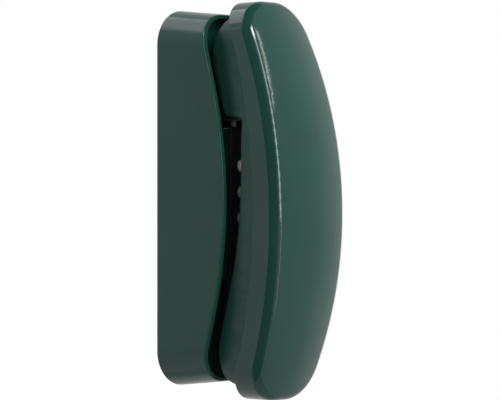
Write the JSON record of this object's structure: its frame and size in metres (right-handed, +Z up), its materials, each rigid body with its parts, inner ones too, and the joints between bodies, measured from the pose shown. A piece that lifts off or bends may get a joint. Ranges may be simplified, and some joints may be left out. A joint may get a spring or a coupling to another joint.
{
  "type": "push-button wall telephone",
  "caption": "Dark green one-piece wall telephone: a push-button base on a keyhole back plate, with a bowed handset hung on its sprung cradle hook.",
  "frame": {"origin": "centre of the back plate's outer face, which lies against the wall, at the base's mid height", "axes": "+X to the right as one faces the telephone, -Y out from the wall towards the user, +Z up"},
  "size_m": [0.068, 0.0834, 0.2092],
  "materials": {
    "green_plastic": "glossy moulded ABS, dark green",
    "handset_green": "glossy moulded ABS, dark green",
    "back_plastic": "matt moulded ABS",
    "black_plastic": "fine satin moulded ABS",
    "white_plastic": "plain moulded",
    "key_white": "satin moulded keycaps",
    "silicone": "matt moulded silicone",
    "circuit_board": "paper laminate with solder resist",
    "steel": "zinc plated",
    "socket_plastic": "plain moulded",
    "transformer_wrap": "taped winding on a laminated core",
    "aluminium_can": "drawn can",
    "brass_disc": "rolled disc",
    "foam": "closed-cell foam"
  },
  "bodies": {
    "base": {"base_housing": "green_plastic", "back_plate": "back_plastic", "base_screws": "steel", "board_screws": "steel", "carrier_screws": "steel", "keypad_bezel": "black_plastic", "key_mat": "silicone", "keypad_board": "circuit_board", "keypad_carrier": "black_plastic", "hook_switch": "black_plastic", "hook_spring": "steel", "main_board": "circuit_board", "line_jack": "socket_plastic", "cord_jack": "socket_plastic", "line_transformer": "transformer_wrap", "line_capacitor": "aluminium_can", "dialling_chip": "black_plastic", "ringer_case": "black_plastic", "ringer_disc": "brass_disc"},
    "hook": {"cradle_hook": "black_plastic", "switch_plunger": "white_plastic"},
    "handset": {"handset_outer_shell": "handset_green", "handset_inner_shell": "handset_green", "receiver_gasket": "foam", "receiver_capsule": "aluminium_can", "microphone_boot": "silicone", "microphone_capsule": "aluminium_can", "handset_weight": "steel", "handset_jack": "socket_plastic", "handset_screws": "steel"},
    "key_1": {"key_1": "key_white"},
    "key_2": {"key_2": "key_white"},
    "key_3": {"key_3": "key_white"},
    "key_4": {"key_4": "key_white"},
    "key_5": {"key_5": "key_white"},
    "key_6": {"key_6": "key_white"},
    "key_7": {"key_7": "key_white"},
    "key_8": {"key_8": "key_white"},
    "key_9": {"key_9": "key_white"},
    "key_star": {"key_star": "key_white"},
    "key_0": {"key_0": "key_white"},
    "key_hash": {"key_hash": "key_white"}
  },
  "joints": [
    {"name": "handset_lift", "type": "slide", "parent": "base", "child": "handset", "axis": [0, -0.5, 0.866], "range_m": [0, 0.12]},
    {"name": "hook_rise", "type": "slide", "parent": "base", "child": "hook", "axis": [0, 0, 1], "range_m": [0, 0.004], "deforming": ["hook_spring"]},
    {"name": "key_1_press", "type": "slide", "parent": "base", "child": "key_1", "axis": [0, 1, 0], "range_m": [0, 0.0013], "stiffness_N_per_m": 600, "deforming": ["key_mat"]},
    {"name": "key_2_press", "type": "slide", "parent": "base", "child": "key_2", "axis": [0, 1, 0], "range_m": [0, 0.0013], "stiffness_N_per_m": 600, "deforming": ["key_mat"]},
    {"name": "key_3_press", "type": "slide", "parent": "base", "child": "key_3", "axis": [0, 1, 0], "range_m": [0, 0.0013], "stiffness_N_per_m": 600, "deforming": ["key_mat"]},
    {"name": "key_4_press", "type": "slide", "parent": "base", "child": "key_4", "axis": [0, 1, 0], "range_m": [0, 0.0013], "stiffness_N_per_m": 600, "deforming": ["key_mat"]},
    {"name": "key_5_press", "type": "slide", "parent": "base", "child": "key_5", "axis": [0, 1, 0], "range_m": [0, 0.0013], "stiffness_N_per_m": 600, "deforming": ["key_mat"]},
    {"name": "key_6_press", "type": "slide", "parent": "base", "child": "key_6", "axis": [0, 1, 0], "range_m": [0, 0.0013], "stiffness_N_per_m": 600, "deforming": ["key_mat"]},
    {"name": "key_7_press", "type": "slide", "parent": "base", "child": "key_7", "axis": [0, 1, 0], "range_m": [0, 0.0013], "stiffness_N_per_m": 600, "deforming": ["key_mat"]},
    {"name": "key_8_press", "type": "slide", "parent": "base", "child": "key_8", "axis": [0, 1, 0], "range_m": [0, 0.0013], "stiffness_N_per_m": 600, "deforming": ["key_mat"]},
    {"name": "key_9_press", "type": "slide", "parent": "base", "child": "key_9", "axis": [0, 1, 0], "range_m": [0, 0.0013], "stiffness_N_per_m": 600, "deforming": ["key_mat"]},
    {"name": "key_star_press", "type": "slide", "parent": "base", "child": "key_star", "axis": [0, 1, 0], "range_m": [0, 0.0013], "stiffness_N_per_m": 600, "deforming": ["key_mat"]},
    {"name": "key_0_press", "type": "slide", "parent": "base", "child": "key_0", "axis": [0, 1, 0], "range_m": [0, 0.0013], "stiffness_N_per_m": 600, "deforming": ["key_mat"]},
    {"name": "key_hash_press", "type": "slide", "parent": "base", "child": "key_hash", "axis": [0, 1, 0], "range_m": [0, 0.0013], "stiffness_N_per_m": 600, "deforming": ["key_mat"]}
  ],
  "couplings": [
    {"joint": "hook_rise", "follows": "handset_lift", "ratio": 0.0333}
  ]
}
